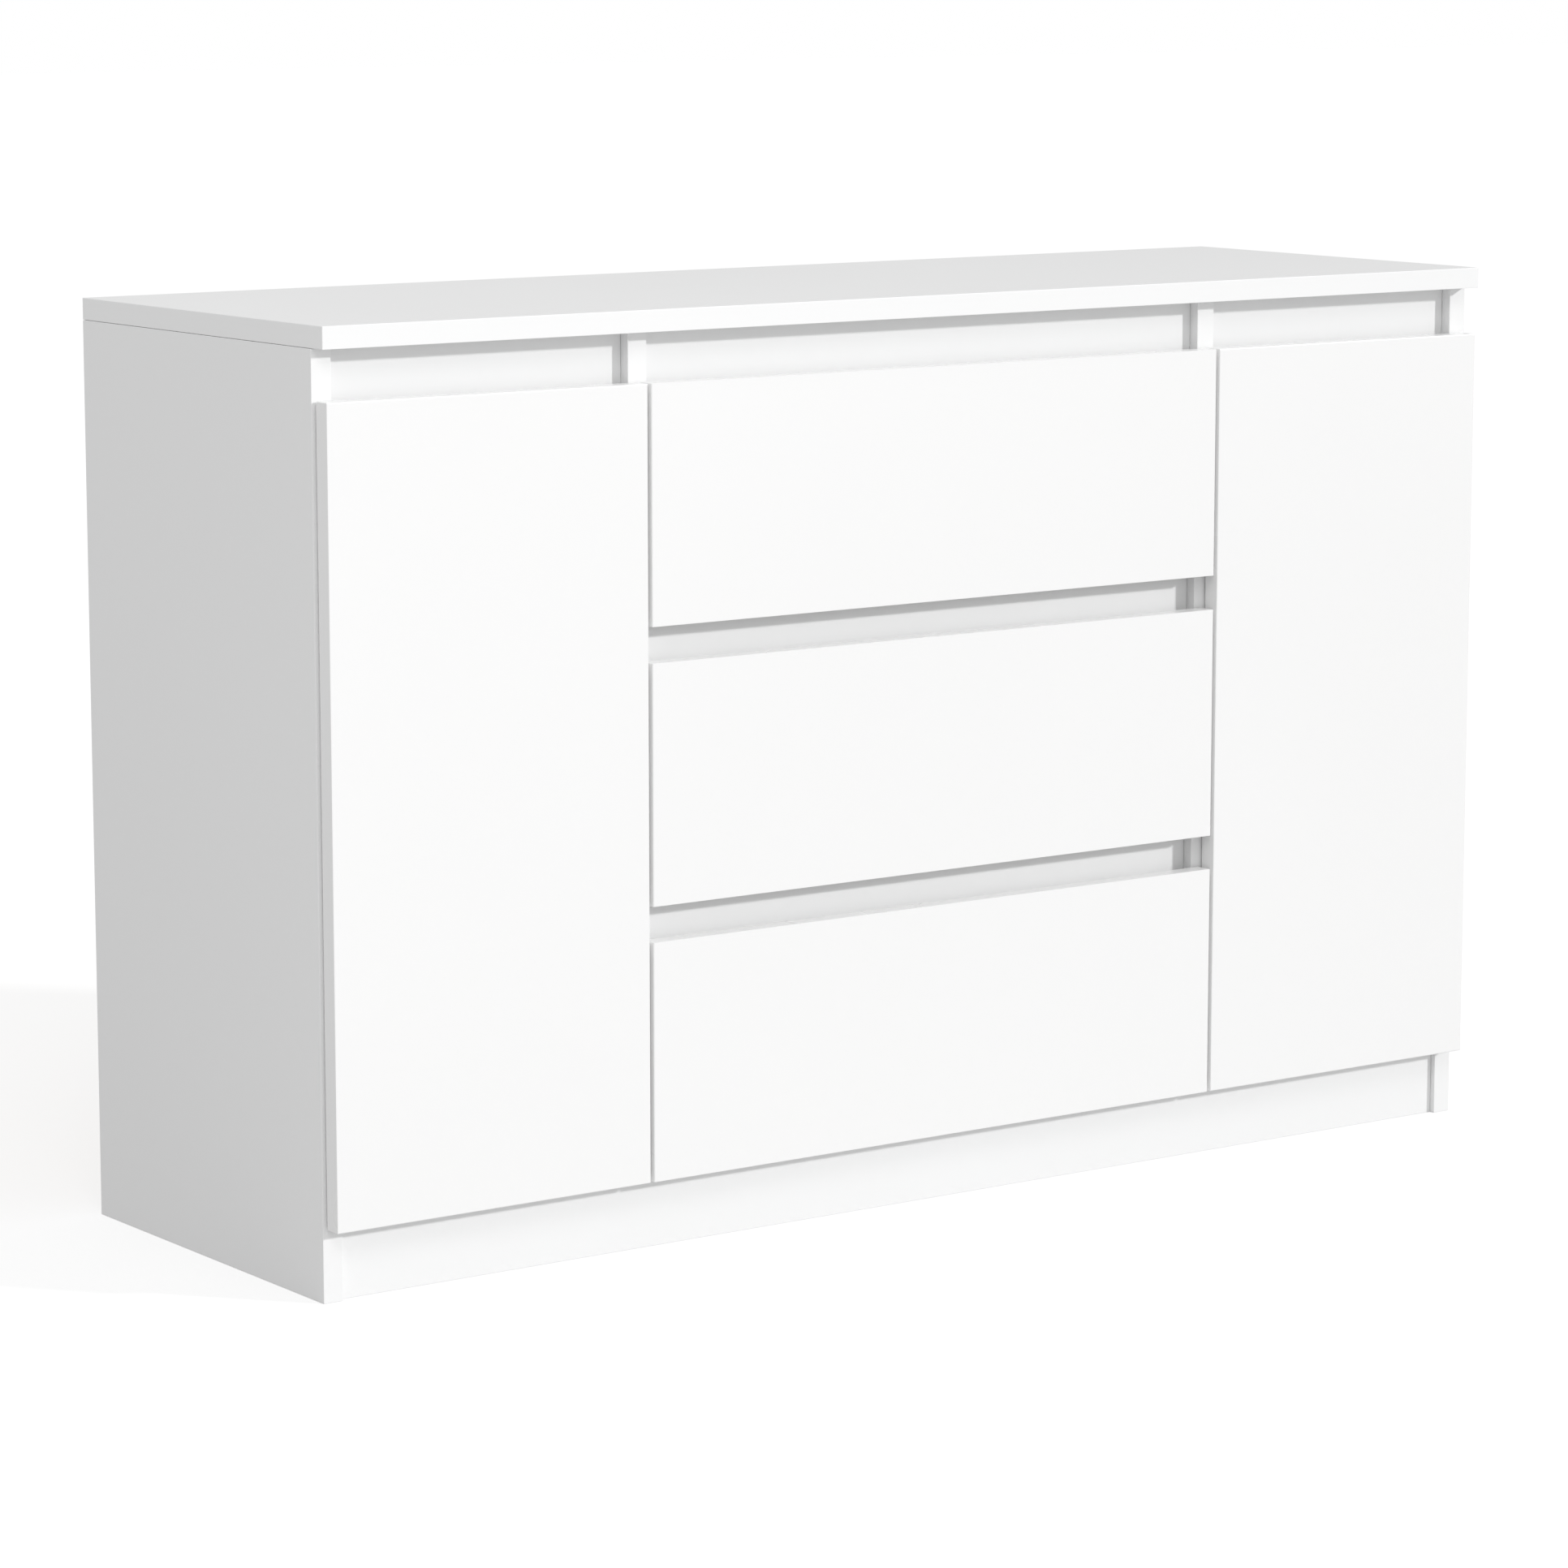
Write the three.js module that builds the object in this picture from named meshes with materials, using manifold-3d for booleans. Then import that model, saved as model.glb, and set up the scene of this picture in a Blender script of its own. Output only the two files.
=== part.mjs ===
// A white melamine sideboard: a cupboard at each end and three drawers between them, all without
// handles. The fronts cover the carcass edges and open by finger gaps with set-back rails behind.
// Millimetres. X runs to the right, Y to the back, Z up. The origin is the middle of the footprint
// on the floor. Every board is drawn at its own size, with SEAM left where two boards meet.
import * as THREE from 'three';
import { mergeVertices } from 'three/addons/utils/BufferGeometryUtils.js';
import Module from 'manifold-3d';

// ---------- Driving dimensions ----------

// Overall
const WIDTH = 1200;
const DEPTH = 385;
const HEIGHT = 775;

// Board thicknesses
const BOARD = 18;
const FRONT_BOARD = 16;
const DRAWER_BOARD = 12;
const SHEET = 3;

// Fits
const SEAM = 0.3; // between boards that are fastened to each other
const FRONT_STANDOFF = 1.6; // from the carcass edges to the backs of the fronts
const FRONT_REVEAL = 3; // from the sideboard's outer face to a door's outer edge
const FRONT_SPACING = 3.6; // between a door and the drawer fronts
const SHELF_PLAY = 1; // at each end of a loose shelf

// Layout
const DRAWER_BAY = 576; // clear width between the dividers
const PLINTH_HEIGHT = 60;
const PLINTH_SETBACK = 5;
const REAR_PLINTH_SETBACK = 40;
const TOP_FINGER_GAP = 41;
const FINGER_GAP = 29.5;
const TOP_FRONT_LESS = 3; // the top drawer front is this much lower than the other two
const TOP_RAIL_HEIGHT = 80;
const RAIL_HEIGHT = 60;
const RAIL_SETBACK = 10; // from the carcass edges to the rails
const SHELF_SETBACK = 12;
const REBATE_WIDTH = 8; // ledge in each side panel that takes the back sheet
const SHEET_COVER = 14; // how far the back sheets reach down over the bottom panel's edge

// Drawer boxes
const BOX_CLEARANCE = 4; // from the board under a drawer box to the box
const BOX_HEADROOM = 6; // from the top drawer's box to the rail above it
const BOX_REAR_SPACE = 65.4; // from a box's back to the carcass's back edge
const SHEET_RISE = 8; // from a box's lower edge to its bottom sheet
const GROOVE_DEPTH = 5;

// Drawer slides: folded steel, one member on the divider and one on the drawer
const SLIDE_SPACE = 12.6; // from a box's side to the divider
const STEEL = 1.2;
const SLIDE_LIP = 8; // how far the folded lips stand out
const CHANNEL_HEIGHT = 18; // outside height of the channel that the drawer's roller runs in
const WEB_RISE = 14; // the fixed member's screw flange above its channel
const LIP_CLEARANCE = 1.4; // between the fixed channel and the drawer member's lip above it
const ROLLER_BAY = 20; // at the front, where the channel is open above for its roller

// Cup hinges
const HINGE_INSET = 100; // from a door's upper and lower edge to the hinge
const CUP_RADIUS = 17.2;
const CUP_DEPTH = 12.4;
const CUP_WALL = 1.5;
const BORE_CLEARANCE = 0.3;
const CUP_OFFSET = 6.5; // from the pin to the middle of the cup
const PIN_DEPTH = 4.5; // from the door's back to the pin
const PIN_RADIUS = 1.6;
const PIN_CLEARANCE = 0.3;
const FLANGE_WIDTH = 22;
const FLANGE_HEIGHT = 60;
const FLANGE = 1;
const LINK_EYE_RADIUS = 3.3;
const LINK_THICKNESS = 2.4;
const LINK_WIDTH = 12;
const LINK_OFFSET = 10; // from the pin to the link's straight part
const LINK_LENGTH = 62;
const LINK_LEAN = THREE.MathUtils.degToRad(1); // towards the side panel, with the door shut
const ARM_MOUTH = 17; // from the pin back to the arm's open end
const ARM_LENGTH = 64;
const ARM_STEEL = 1.5;
const ARM_PLAY = 1.2; // above and below the link
const ARM_REACH = 20; // from the side panel to the arm's outer face
const PLATE_THICKNESS = 3;
const PLATE_START = 30; // from the pin back to the mounting plate
const PLATE_LENGTH = 50;
const PLATE_HEIGHT = 34;
const WING_HEIGHT = 58;
const WING_LENGTH = 16;

// ---------- Derived places ----------

const front = -DEPTH / 2;
const back = DEPTH / 2;
const frontBack = front + FRONT_BOARD; // the back faces of the doors and drawer fronts
const carcassFront = frontBack + FRONT_STANDOFF;
const sheetFront = back - SHEET;
const carcassBack = sheetFront - SEAM;
const railFront = carcassFront + RAIL_SETBACK;

const underTop = HEIGHT - BOARD;
const boardTop = underTop - SEAM; // upper ends of the boards that carry the top
const frontsBottom = PLINTH_HEIGHT;
const frontsTop = underTop - TOP_FINGER_GAP;
const bottomPanelTop = PLINTH_HEIGHT + BOARD;
const topRailBottom = boardTop - TOP_RAIL_HEIGHT;

const outer = WIDTH / 2;
const sideInner = outer - BOARD;
const bayHalf = DRAWER_BAY / 2;
const dividerOuter = bayHalf + BOARD;
const dividerMiddle = bayHalf + BOARD / 2;

const doorOuter = outer - FRONT_REVEAL;
const doorInner = dividerMiddle + FRONT_SPACING / 2;
const drawerFrontHalf = dividerMiddle - FRONT_SPACING / 2;
const lowerFront = (frontsTop - frontsBottom - 2 * FINGER_GAP + TOP_FRONT_LESS) / 3;
const topFront = lowerFront - TOP_FRONT_LESS;
const frontPitch = lowerFront + FINGER_GAP;

// The drawer boxes are alike. Each clears the bottom panel or the rail under it, and their height
// is what the top rail leaves the uppermost one. Heights count from a front's lower edge.
const boxHalf = bayHalf - SLIDE_SPACE;
const railLap = (RAIL_HEIGHT - FINGER_GAP) / 2;
const boxBottom = Math.max(BOARD, railLap) + BOX_CLEARANCE;
const boxTop = topRailBottom - BOX_HEADROOM - frontsBottom - 2 * frontPitch;
const boxFront = frontBack + SEAM;
const boxEnd = carcassBack - BOX_REAR_SPACE;
const boxLength = boxEnd - boxFront;

// ---------- Finishes ----------

function finish(color, roughness, metalness = 0) {
  return new THREE.MeshStandardMaterial({ color, roughness, metalness });
}

const melamine = finish(0xf3f4f4, 0.42);
const frontMelamine = finish(0xfafafa, 0.36);
const drawerMelamine = finish(0xeff0ef, 0.5);
const fibreboard = finish(0xe9eae8, 0.6);
const powderCoat = finish(0xf0f0ee, 0.45, 0.1);
const nickel = finish(0xb9bbbd, 0.3, 0.9);

const sideboard = new THREE.Group();

// ---------- Solids ----------

const wasm = await Module();
wasm.setup();

// A geometry as a solid, with its vertices shared so that it is closed.
function solid(geometry) {
  const bare = geometry.clone();
  bare.deleteAttribute('normal');
  bare.deleteAttribute('uv');
  const merged = mergeVertices(bare, 1e-5);
  return new wasm.Manifold(new wasm.Mesh({
    numProp: 3,
    vertProperties: new Float32Array(merged.attributes.position.array),
    triVerts: new Uint32Array(merged.index.array),
  }));
}

// A solid back as a geometry.
function surface(manifold) {
  const mesh = manifold.getMesh();
  const geometry = new THREE.BufferGeometry();
  geometry.setAttribute('position', new THREE.BufferAttribute(new Float32Array(mesh.vertProperties), 3));
  geometry.setIndex(new THREE.BufferAttribute(new Uint32Array(mesh.triVerts), 1));
  geometry.computeVertexNormals();
  return geometry;
}

// A block between two corners, given as pairs of values along X, Y and Z in either order.
function block([x0, x1], [y0, y1], [z0, z1]) {
  const geometry = new THREE.BoxGeometry(Math.abs(x1 - x0), Math.abs(y1 - y0), Math.abs(z1 - z0));
  return geometry.translate((x0 + x1) / 2, (y0 + y1) / 2, (z0 + z1) / 2);
}

// A flat outline of [a, b] points as a closed shape, turned the right way round.
function outline(points) {
  const corners = points.map(([a, b]) => new THREE.Vector2(a, b));
  if (THREE.ShapeUtils.area(corners) < 0) corners.reverse();
  return new THREE.Shape(corners);
}

function extrude(shape, depth, curveSegments = 12) {
  return new THREE.ExtrudeGeometry(shape, { depth, bevelEnabled: false, curveSegments });
}

// An outline in X and Z run along Y from y0 to y1.
function runAlongY(points, y0, y1) {
  const geometry = extrude(outline(points.map(([x, z]) => [x, -z])), y1 - y0);
  return geometry.rotateX(-Math.PI / 2).translate(0, y0, 0);
}

function add(parent, name, geometry, material) {
  const mesh = new THREE.Mesh(geometry, material);
  mesh.name = name;
  parent.add(mesh);
  return mesh;
}

function addBoard(name, xs, ys, zs, material = melamine) {
  return add(sideboard, name, block(xs, ys, zs), material);
}

const ENDS = [
  { name: 'left', sign: -1 },
  { name: 'right', sign: 1 },
];

// ---------- Carcass ----------

addBoard('top_panel', [-outer, outer], [front, back], [underTop, HEIGHT]);

// A side panel stands on the floor. A ledge along its back inner corner takes the back sheet.
function sidePanel(sign) {
  const ledge = sideInner + REBATE_WIDTH;
  const plan = [
    [sign * outer, carcassFront],
    [sign * sideInner, carcassFront],
    [sign * sideInner, carcassBack],
    [sign * ledge, carcassBack],
    [sign * ledge, back],
    [sign * outer, back],
  ];
  return extrude(outline(plan), boardTop);
}

for (const { name, sign } of ENDS) {
  add(sideboard, `${name}_side_panel`, sidePanel(sign), melamine);
  addBoard(
    `${name}_divider`,
    [sign * bayHalf, sign * dividerOuter],
    [carcassFront, carcassBack],
    [bottomPanelTop + SEAM, boardTop],
  );
}

addBoard(
  'bottom_panel',
  [-sideInner + SEAM, sideInner - SEAM],
  [carcassFront, carcassBack],
  [PLINTH_HEIGHT, bottomPanelTop],
);

const plinthSpan = [-sideInner + SEAM, sideInner - SEAM];
const plinthFront = carcassFront + PLINTH_SETBACK;
const rearPlinthBack = back - REAR_PLINTH_SETBACK;
addBoard('plinth_board', plinthSpan, [plinthFront, plinthFront + BOARD], [0, PLINTH_HEIGHT - SEAM]);
addBoard(
  'rear_plinth_board',
  plinthSpan,
  [rearPlinthBack - BOARD, rearPlinthBack],
  [0, PLINTH_HEIGHT - SEAM],
);

// Rails close the finger gaps from behind and tie the uprights together.
const cupboardSpan = (sign) => [sign * (dividerOuter + SEAM), sign * (sideInner - SEAM)];
const baySpan = [-bayHalf + SEAM, bayHalf - SEAM];
const railDepth = [railFront, railFront + BOARD];

for (const { name, sign } of ENDS) {
  addBoard(`${name}_top_rail`, cupboardSpan(sign), railDepth, [topRailBottom, boardTop]);
}
addBoard('middle_top_rail', baySpan, railDepth, [topRailBottom, boardTop]);

['lower', 'upper'].forEach((name, level) => {
  const gapMiddle = frontsBottom + lowerFront + FINGER_GAP / 2 + level * frontPitch;
  const heights = [gapMiddle - RAIL_HEIGHT / 2, gapMiddle + RAIL_HEIGHT / 2];
  addBoard(`${name}_drawer_rail`, baySpan, railDepth, heights);
});

// Back sheets meet behind the dividers and end in the side panels' ledges.
const sheetDepth = [sheetFront, back];
const sheetHeights = [bottomPanelTop - SHEET_COVER, boardTop];
const sheetEnd = sideInner + REBATE_WIDTH - SEAM;
const sheetJoint = dividerMiddle + SEAM;

for (const { name, sign } of ENDS) {
  addBoard(`${name}_back_sheet`, [sign * sheetJoint, sign * sheetEnd], sheetDepth, sheetHeights, fibreboard);
}
const middleSheetHalf = dividerMiddle - SEAM;
addBoard('middle_back_sheet', [-middleSheetHalf, middleSheetHalf], sheetDepth, sheetHeights, fibreboard);

// One loose shelf in each cupboard, halfway between the bottom panel and the top rail.
const shelfMiddle = (bottomPanelTop + topRailBottom) / 2;
for (const { name, sign } of ENDS) {
  addBoard(
    `${name}_shelf`,
    [sign * (dividerOuter + SHELF_PLAY), sign * (sideInner - SHELF_PLAY)],
    [carcassFront + SHELF_SETBACK, carcassBack - SHELF_PLAY],
    [shelfMiddle - BOARD / 2, shelfMiddle + BOARD / 2],
  );
}

// ---------- Doors on cup hinges ----------

// A hinge is drawn about its pin, with Y to the back and the pin along Z. The pin is in line with
// the side panel's inner face, and inward is the way along X from there into the cupboard.
const pinY = frontBack - PIN_DEPTH;
const cupSeat = PIN_DEPTH + SEAM;
const cupFloor = cupSeat - CUP_DEPTH;
const HINGES = [
  { name: 'lower', z: frontsBottom + HINGE_INSET },
  { name: 'upper', z: frontsTop - HINGE_INSET },
];

// A cylinder along Y, from y0 to y1.
function discAlongY(radius, x, y0, y1, segments = 40) {
  return new THREE.CylinderGeometry(radius, radius, y1 - y0, segments).translate(x, (y0 + y1) / 2, 0);
}

// The bore in the door's back that takes the cup.
function cupBore(inward) {
  const radius = CUP_RADIUS + BORE_CLEARANCE;
  return discAlongY(radius, inward * CUP_OFFSET, cupFloor - BORE_CLEARANCE, PIN_DEPTH + 1);
}

// The cup is pressed into the door's back and screwed through its flange. The pin crosses it.
function hingeCup(inward) {
  const middle = inward * CUP_OFFSET;
  const inner = CUP_RADIUS - CUP_WALL;
  const flangeXs = [middle - FLANGE_WIDTH / 2, middle + FLANGE_WIDTH / 2];
  const flangeZs = [-FLANGE_HEIGHT / 2, FLANGE_HEIGHT / 2];
  const chord = 2 * Math.sqrt((CUP_RADIUS - CUP_WALL / 2) ** 2 - CUP_OFFSET ** 2);
  const shell = solid(discAlongY(CUP_RADIUS, middle, cupFloor, cupSeat + FLANGE));
  const flange = solid(block(flangeXs, [cupSeat, cupSeat + FLANGE], flangeZs));
  const hollow = solid(discAlongY(inner, middle, cupFloor + CUP_WALL, cupSeat + 2 * FLANGE));
  const pin = solid(new THREE.CylinderGeometry(PIN_RADIUS, PIN_RADIUS, chord, 16).rotateX(Math.PI / 2));
  return surface(shell.add(flange).subtract(hollow).add(pin));
}

// The link turns on the cup's pin, steps over the cup's rim and runs back into the arm.
function hingeLink(inward) {
  const half = LINK_THICKNESS / 2;
  const start = Math.asin(half / LINK_EYE_RADIUS);
  const path = new THREE.Path();
  path.absarc(0, 0, LINK_EYE_RADIUS, start, 2 * Math.PI - start, false);
  path.lineTo(LINK_OFFSET + half, -half);
  path.lineTo(LINK_OFFSET + half, LINK_LENGTH);
  path.lineTo(LINK_OFFSET - half, LINK_LENGTH);
  path.lineTo(LINK_OFFSET - half, half);
  const shape = outline(path.getPoints(24).map(({ x, y }) => [inward * x, y]));
  const eye = new THREE.Path();
  eye.absarc(0, 0, PIN_RADIUS + PIN_CLEARANCE, 0, 2 * Math.PI, true);
  shape.holes.push(eye);
  return extrude(shape, LINK_WIDTH).translate(0, 0, -LINK_WIDTH / 2).rotateZ(inward * LINK_LEAN);
}

// The arm is a channel that the link runs in, on a winged plate screwed to the side panel.
function hingeArm(inward) {
  const slot = LINK_WIDTH / 2 + ARM_PLAY;
  const cheek = slot + ARM_STEEL;
  const armEnd = ARM_MOUTH + ARM_LENGTH;
  const plateTop = SEAM + PLATE_THICKNESS;
  const plateMiddle = PLATE_START + PLATE_LENGTH / 2;
  // A block that reaches from x0 to x1 off the side panel, and as far above the pin as below it.
  const piece = (x0, x1, ys, halfHeight) =>
    solid(block([inward * x0, inward * x1], ys, [-halfHeight, halfHeight]));
  const body = piece(SEAM, ARM_REACH, [ARM_MOUTH, armEnd], cheek);
  const channel = piece(plateTop, ARM_REACH - ARM_STEEL, [ARM_MOUTH - 1, armEnd + 1], slot);
  const relief = piece(0, plateTop + 1, [ARM_MOUTH - 1, PLATE_START], cheek + 1);
  const plate = piece(SEAM, plateTop, [PLATE_START, PLATE_START + PLATE_LENGTH], PLATE_HEIGHT / 2);
  const wingYs = [plateMiddle - WING_LENGTH / 2, plateMiddle + WING_LENGTH / 2];
  const wings = piece(SEAM, plateTop, wingYs, WING_HEIGHT / 2);
  return surface(body.subtract(channel).subtract(relief).add(plate).add(wings));
}

for (const { name, sign } of ENDS) {
  const inward = -sign;
  const pieces = {
    hinge_cup: hingeCup(inward),
    hinge_link: hingeLink(inward),
    hinge_arm: hingeArm(inward),
  };
  const bore = cupBore(inward);
  let door = solid(block([sign * doorInner, sign * doorOuter], [front, frontBack], [frontsBottom, frontsTop]));
  for (const hinge of HINGES) {
    door = door.subtract(solid(bore.clone().translate(sign * sideInner, pinY, hinge.z)));
    for (const [piece, geometry] of Object.entries(pieces)) {
      const mesh = add(sideboard, `${name}_${hinge.name}_${piece}`, geometry, nickel);
      mesh.position.set(sign * sideInner, pinY, hinge.z);
    }
  }
  add(sideboard, `${name}_door`, surface(door), frontMelamine);
}

// ---------- Drawers ----------

// A drawer is drawn with its front's lower edge at Z 0. Its box sides are fastened to the front,
// and its bottom sheet sits in grooves in the sides and the front, under the box's back.
const boxInner = boxHalf - DRAWER_BOARD;
const bottomSheetZ = boxBottom + SHEET_RISE;
const bottomSheetTop = bottomSheetZ + SHEET;
const bottomSheetHalf = boxInner + GROOVE_DEPTH - SEAM;

function drawerFront(height) {
  const face = solid(block([-drawerFrontHalf, drawerFrontHalf], [front, frontBack], [0, height]));
  const grooveHalf = boxInner + GROOVE_DEPTH;
  const groove = solid(block(
    [-grooveHalf, grooveHalf],
    [frontBack - GROOVE_DEPTH, frontBack + 1],
    [bottomSheetZ - SEAM, bottomSheetTop + SEAM],
  ));
  return surface(face.subtract(groove));
}

function drawerSide(sign) {
  const groove = boxInner + GROOVE_DEPTH;
  const section = [
    [sign * boxInner, boxBottom],
    [sign * boxHalf, boxBottom],
    [sign * boxHalf, boxTop],
    [sign * boxInner, boxTop],
    [sign * boxInner, bottomSheetTop + SEAM],
    [sign * groove, bottomSheetTop + SEAM],
    [sign * groove, bottomSheetZ - SEAM],
    [sign * boxInner, bottomSheetZ - SEAM],
  ];
  return runAlongY(section, boxFront, boxEnd);
}

// The member on the divider: a channel with a tall web for its screws. Its upper lip stops short
// of the front end, where a roller stands out above the channel and carries the drawer's lip.
function cabinetSlide(sign) {
  const wall = bayHalf - SEAM;
  const web = wall - STEEL;
  const tip = wall - SLIDE_LIP;
  const channelTop = boxBottom + CHANNEL_HEIGHT;
  const section = [
    [wall, boxBottom],
    [wall, channelTop + WEB_RISE],
    [web, channelTop + WEB_RISE],
    [web, channelTop],
    [tip, channelTop],
    [tip, channelTop - STEEL],
    [web, channelTop - STEEL],
    [web, boxBottom + STEEL],
    [tip, boxBottom + STEEL],
    [tip, boxBottom],
  ].map(([x, z]) => [sign * x, z]);
  const start = carcassFront + SEAM;
  const channel = solid(runAlongY(section, start, start + boxLength));
  const lipXs = [sign * (tip - 1), sign * web];
  const opening = solid(block(lipXs, [start - 1, start + ROLLER_BAY], [channelTop - 2 * STEEL, channelTop]));
  return surface(channel.subtract(opening));
}

// The member on the box: it wraps the side's lower edge, and its lip runs above the channel.
function drawerSlide(sign) {
  const inside = boxHalf - DRAWER_BOARD + STEEL;
  const face = boxHalf + SEAM;
  const lipTip = bayHalf - SEAM - STEEL - LIP_CLEARANCE;
  const foot = boxBottom - SEAM;
  const lip = boxBottom + CHANNEL_HEIGHT + LIP_CLEARANCE;
  const section = [
    [inside, foot],
    [face, foot],
    [face, lip + STEEL],
    [lipTip, lip + STEEL],
    [lipTip, lip],
    [face + STEEL, lip],
    [face + STEEL, foot - STEEL],
    [inside, foot - STEEL],
  ].map(([x, z]) => [sign * x, z]);
  return runAlongY(section, boxFront, boxEnd);
}

['lower', 'middle', 'upper'].forEach((name, level) => {
  const drawer = new THREE.Group();
  drawer.position.z = frontsBottom + level * frontPitch;
  sideboard.add(drawer);
  const height = name === 'upper' ? topFront : lowerFront;
  add(drawer, `${name}_drawer_front`, drawerFront(height), frontMelamine);
  add(
    drawer,
    `${name}_drawer_back`,
    block([-boxInner + SEAM, boxInner - SEAM], [boxEnd - DRAWER_BOARD, boxEnd], [bottomSheetTop + SEAM, boxTop]),
    drawerMelamine,
  );
  add(
    drawer,
    `${name}_drawer_bottom`,
    block(
      [-bottomSheetHalf, bottomSheetHalf],
      [frontBack - GROOVE_DEPTH + SEAM, boxEnd],
      [bottomSheetZ, bottomSheetTop],
    ),
    fibreboard,
  );
  for (const end of ENDS) {
    add(drawer, `${name}_drawer_${end.name}_side`, drawerSide(end.sign), drawerMelamine);
    add(drawer, `${name}_drawer_${end.name}_runner`, drawerSlide(end.sign), powderCoat);
    add(drawer, `${name}_cabinet_${end.name}_runner`, cabinetSlide(end.sign), powderCoat);
  }
});

export default sideboard;
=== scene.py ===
import math

import bmesh
import bpy
from mathutils import Matrix, Vector


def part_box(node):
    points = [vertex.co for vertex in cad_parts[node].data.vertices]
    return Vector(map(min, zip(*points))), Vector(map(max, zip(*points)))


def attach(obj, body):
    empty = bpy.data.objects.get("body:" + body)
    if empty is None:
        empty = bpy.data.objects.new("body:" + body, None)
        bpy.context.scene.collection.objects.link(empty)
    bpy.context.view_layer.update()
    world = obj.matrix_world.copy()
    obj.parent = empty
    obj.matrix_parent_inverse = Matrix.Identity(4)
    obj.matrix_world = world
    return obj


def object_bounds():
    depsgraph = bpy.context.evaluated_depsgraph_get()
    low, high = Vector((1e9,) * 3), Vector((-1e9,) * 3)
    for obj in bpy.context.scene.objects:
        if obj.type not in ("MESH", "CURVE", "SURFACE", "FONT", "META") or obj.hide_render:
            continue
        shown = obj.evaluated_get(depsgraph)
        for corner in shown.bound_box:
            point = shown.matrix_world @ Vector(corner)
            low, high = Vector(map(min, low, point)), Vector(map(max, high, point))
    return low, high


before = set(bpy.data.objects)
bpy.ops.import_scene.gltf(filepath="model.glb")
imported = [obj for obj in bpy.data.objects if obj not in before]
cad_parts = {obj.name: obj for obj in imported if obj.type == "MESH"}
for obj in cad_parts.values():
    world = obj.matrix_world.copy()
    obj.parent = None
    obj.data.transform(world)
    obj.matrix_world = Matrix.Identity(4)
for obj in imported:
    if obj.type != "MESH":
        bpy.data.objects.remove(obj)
cad_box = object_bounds()
MM = 0.001

# ---------- Side panels ----------
# Two 18 mm chipboard panels faced with white melamine that stand on the floor and carry the top.
# The paper face has a fine pearl texture, and thin bands of white plastic are glued to the edges.

BOARD_WHITE = (0.91, 0.912, 0.912)
BOARD_GRAINS = 650.0
PRESS_DEPTH = 0.03 * MM
EDGE_ROUND = 0.5 * MM
EDGE_BAND = 0.8 * MM
GLUE_LINE = 0.15 * MM


class Tree:
    """A node tree that is filled one node at a time, with values set by socket name."""

    def __init__(self, tree):
        self.tree = tree

    def node(self, kind, settings=None, **inputs):
        node = self.tree.nodes.new(kind)
        for key, value in (settings or {}).items():
            setattr(node, key, value)
        for key, value in inputs.items():
            self.set(node.inputs[key.replace("_", " ")], value)
        return node

    def set(self, socket, value):
        if isinstance(value, bpy.types.NodeSocket):
            self.tree.links.new(value, socket)
        else:
            socket.default_value = value

    def math(self, operation, a, b=0.0, clamp=False):
        node = self.node("ShaderNodeMath", {"operation": operation, "use_clamp": clamp})
        self.set(node.inputs[0], a)
        self.set(node.inputs[1], b)
        return node.outputs[0]

    def vector(self, operation, a, b):
        node = self.node("ShaderNodeVectorMath", {"operation": operation})
        self.set(node.inputs[0], a)
        self.set(node.inputs[1], b)
        return node.outputs[0]

    def remap(self, value, low, high, to_low=0.0, to_high=1.0):
        node = self.node("ShaderNodeMapRange", {"interpolation_type": "SMOOTHSTEP"})
        for name, number in (
            ("Value", value),
            ("From Min", low),
            ("From Max", high),
            ("To Min", to_low),
            ("To Max", to_high),
        ):
            self.set(node.inputs[name], number)
        return node.outputs["Result"]

    def mix(self, factor, a, b):
        node = self.node("ShaderNodeMix", {"data_type": "RGBA"})
        self.set(node.inputs["Factor"], factor)
        self.set(node.inputs["A"], a)
        self.set(node.inputs["B"], b)
        return node.outputs["Result"]


def shader_group(name, inputs, outputs):
    """An empty shader group with named sockets, and its input and output nodes."""
    group = bpy.data.node_groups.new(name, "ShaderNodeTree")
    for label, kind, value in inputs:
        socket = group.interface.new_socket(label, in_out="INPUT", socket_type=kind)
        socket.default_value = value
    for label, kind in outputs:
        group.interface.new_socket(label, in_out="OUTPUT", socket_type=kind)
    tree = Tree(group)
    return group, tree, tree.node("NodeGroupInput").outputs, tree.node("NodeGroupOutput").inputs


# Pressed surface: a fine stipple, and a very slow drift in tone and gloss over a whole board.
pearl, t, given, result = shader_group(
    "pearl_texture",
    [
        ("Grains per metre", "NodeSocketFloat", 700.0),
        ("Drift", "NodeSocketFloat", 0.02),
        ("Roughness", "NodeSocketFloat", 0.4),
        ("Roughness Spread", "NodeSocketFloat", 0.06),
    ],
    [("Height", "NodeSocketFloat"), ("Tone", "NodeSocketFloat"), ("Roughness", "NodeSocketFloat")],
)
place = t.node("ShaderNodeTexCoord").outputs["Object"]
fine = t.node("ShaderNodeTexNoise", Vector=place, Scale=given["Grains per metre"], Detail=2.0)
cells = t.node(
    "ShaderNodeTexVoronoi",
    {"feature": "SMOOTH_F1"},
    Vector=place,
    Scale=t.math("MULTIPLY", given["Grains per metre"], 0.55),
)
slow = t.node("ShaderNodeTexNoise", Vector=place, Scale=2.6, Detail=3.0)
both = t.math("ADD", fine.outputs["Fac"], cells.outputs["Distance"])
t.set(result["Height"], t.math("MULTIPLY", both, 0.5))
centred = t.math("SUBTRACT", slow.outputs["Fac"], 0.5)
t.set(result["Tone"], t.math("ADD", 1.0, t.math("MULTIPLY", centred, given["Drift"])))
spread = t.math("MULTIPLY", centred, given["Roughness Spread"])
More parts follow.
